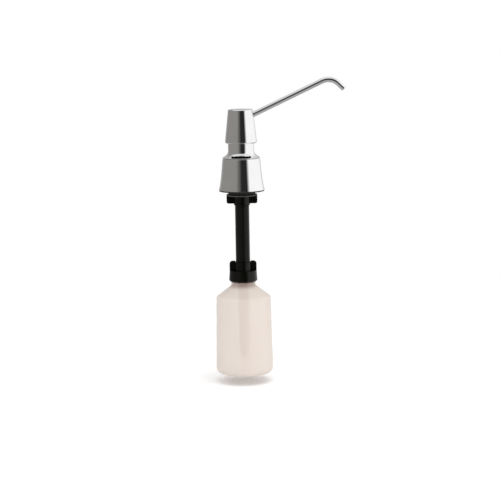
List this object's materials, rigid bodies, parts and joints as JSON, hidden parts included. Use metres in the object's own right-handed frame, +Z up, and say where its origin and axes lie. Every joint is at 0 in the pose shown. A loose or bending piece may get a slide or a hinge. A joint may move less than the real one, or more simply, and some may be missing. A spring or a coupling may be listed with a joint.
{
  "type": "deck mounted soap dispenser",
  "caption": "Deck-mounted manual soap dispenser: press head with swinging spout on a tapered bell, threaded shank with winged lock nut, and a screw-on soap bottle below the deck.",
  "frame": {"origin": "on the shank's axis, at the deck surface under the bell's gasket", "axes": "+Z up along the shank, +X the way the spout reaches, -Y the side with the key slot"},
  "size_m": [0.1978, 0.0852, 0.4399],
  "materials": {
    "chrome": "bright polished chrome plate on brass",
    "black_plastic": "moulded black plastic with a soft sheen",
    "bottle_plastic": "blow-moulded translucent polyethylene, cream with a faint pink cast",
    "white_plastic": "natural white acetal",
    "grey_rubber": "dark grey moulded rubber",
    "black_rubber": "black rubber",
    "steel": "plain stainless steel",
    "brass": "turned brass"
  },
  "bodies": {
    "mounting": {"escutcheon": "chrome", "deck_gasket": "black_rubber", "shank": "black_plastic", "throat_ring": "brass", "shank_ring": "black_plastic", "cap_liner": "grey_rubber"},
    "valve": {"valve_collar": "chrome", "collar_seal": "black_rubber", "guide_bushing": "white_plastic", "stem_wiper": "black_rubber", "pump_cylinder": "white_plastic", "cylinder_nut": "brass", "inlet_fitting": "white_plastic", "inlet_seat": "white_plastic", "inlet_strainer": "steel", "return_spring": "steel"},
    "inlet_check": {"inlet_ball": "steel"},
    "plunger": {"piston_stem": "steel", "piston": "white_plastic", "piston_seal": "black_rubber"},
    "outlet_check": {"outlet_ball": "steel"},
    "head": {"head_cover": "chrome", "head_core": "white_plastic", "stem_seal": "black_rubber", "swivel_screw": "steel", "spout_tube": "chrome", "spout_seal": "black_rubber"},
    "clamp": {"clamp_gasket": "black_rubber", "clamp_washer": "grey_rubber"},
    "nut": {"lock_nut": "black_plastic"},
    "cap": {"bottle_cap": "black_plastic"},
    "container": {"bottle": "bottle_plastic"}
  },
  "joints": [
    {"name": "valve_lift", "type": "slide", "parent": "mounting", "child": "valve", "axis": [0, 0, 1], "range_m": [0, 0.285]},
    {"name": "inlet_lift", "type": "slide", "parent": "valve", "child": "inlet_check", "axis": [0, 0, 1], "range_m": [0, 0.0012]},
    {"name": "head_press", "type": "slide", "parent": "valve", "child": "plunger", "axis": [0, 0, -1], "range_m": [0, 0.0127], "stiffness_N_per_m": 600, "springref_m": -0.018, "deforming": ["return_spring"]},
    {"name": "outlet_lift", "type": "slide", "parent": "plunger", "child": "outlet_check", "axis": [0, 0, 1], "range_m": [0, 0.0012]},
    {"name": "head_swivel", "type": "hinge", "parent": "plunger", "child": "head", "pos_m": [0, 0, 0.0924], "axis": [0, 0, 1], "continuous": true},
    {"name": "nut_travel", "type": "slide", "parent": "mounting", "child": "clamp", "axis": [0, 0, -1], "range_m": [-0.0006, 0.076]},
    {"name": "nut_turn", "type": "hinge", "parent": "clamp", "child": "nut", "pos_m": [0, 0, -0.014], "axis": [0, 0, -1], "range_deg": [-120, 15085]},
    {"name": "cap_turn", "type": "hinge", "parent": "mounting", "child": "cap", "pos_m": [0, 0, -0.12], "axis": [0, 0, 1], "range_deg": [0, 720]},
    {"name": "bottle_drop", "type": "slide", "parent": "mounting", "child": "container", "axis": [0, 0, -1], "range_m": [0, 0.00846]}
  ],
  "couplings": [
    {"joint": "nut_turn", "follows": "nut_travel", "rad_per_m": 3463.2},
    {"joint": "cap_turn", "follows": "bottle_drop", "rad_per_m": 1484.2}
  ]
}
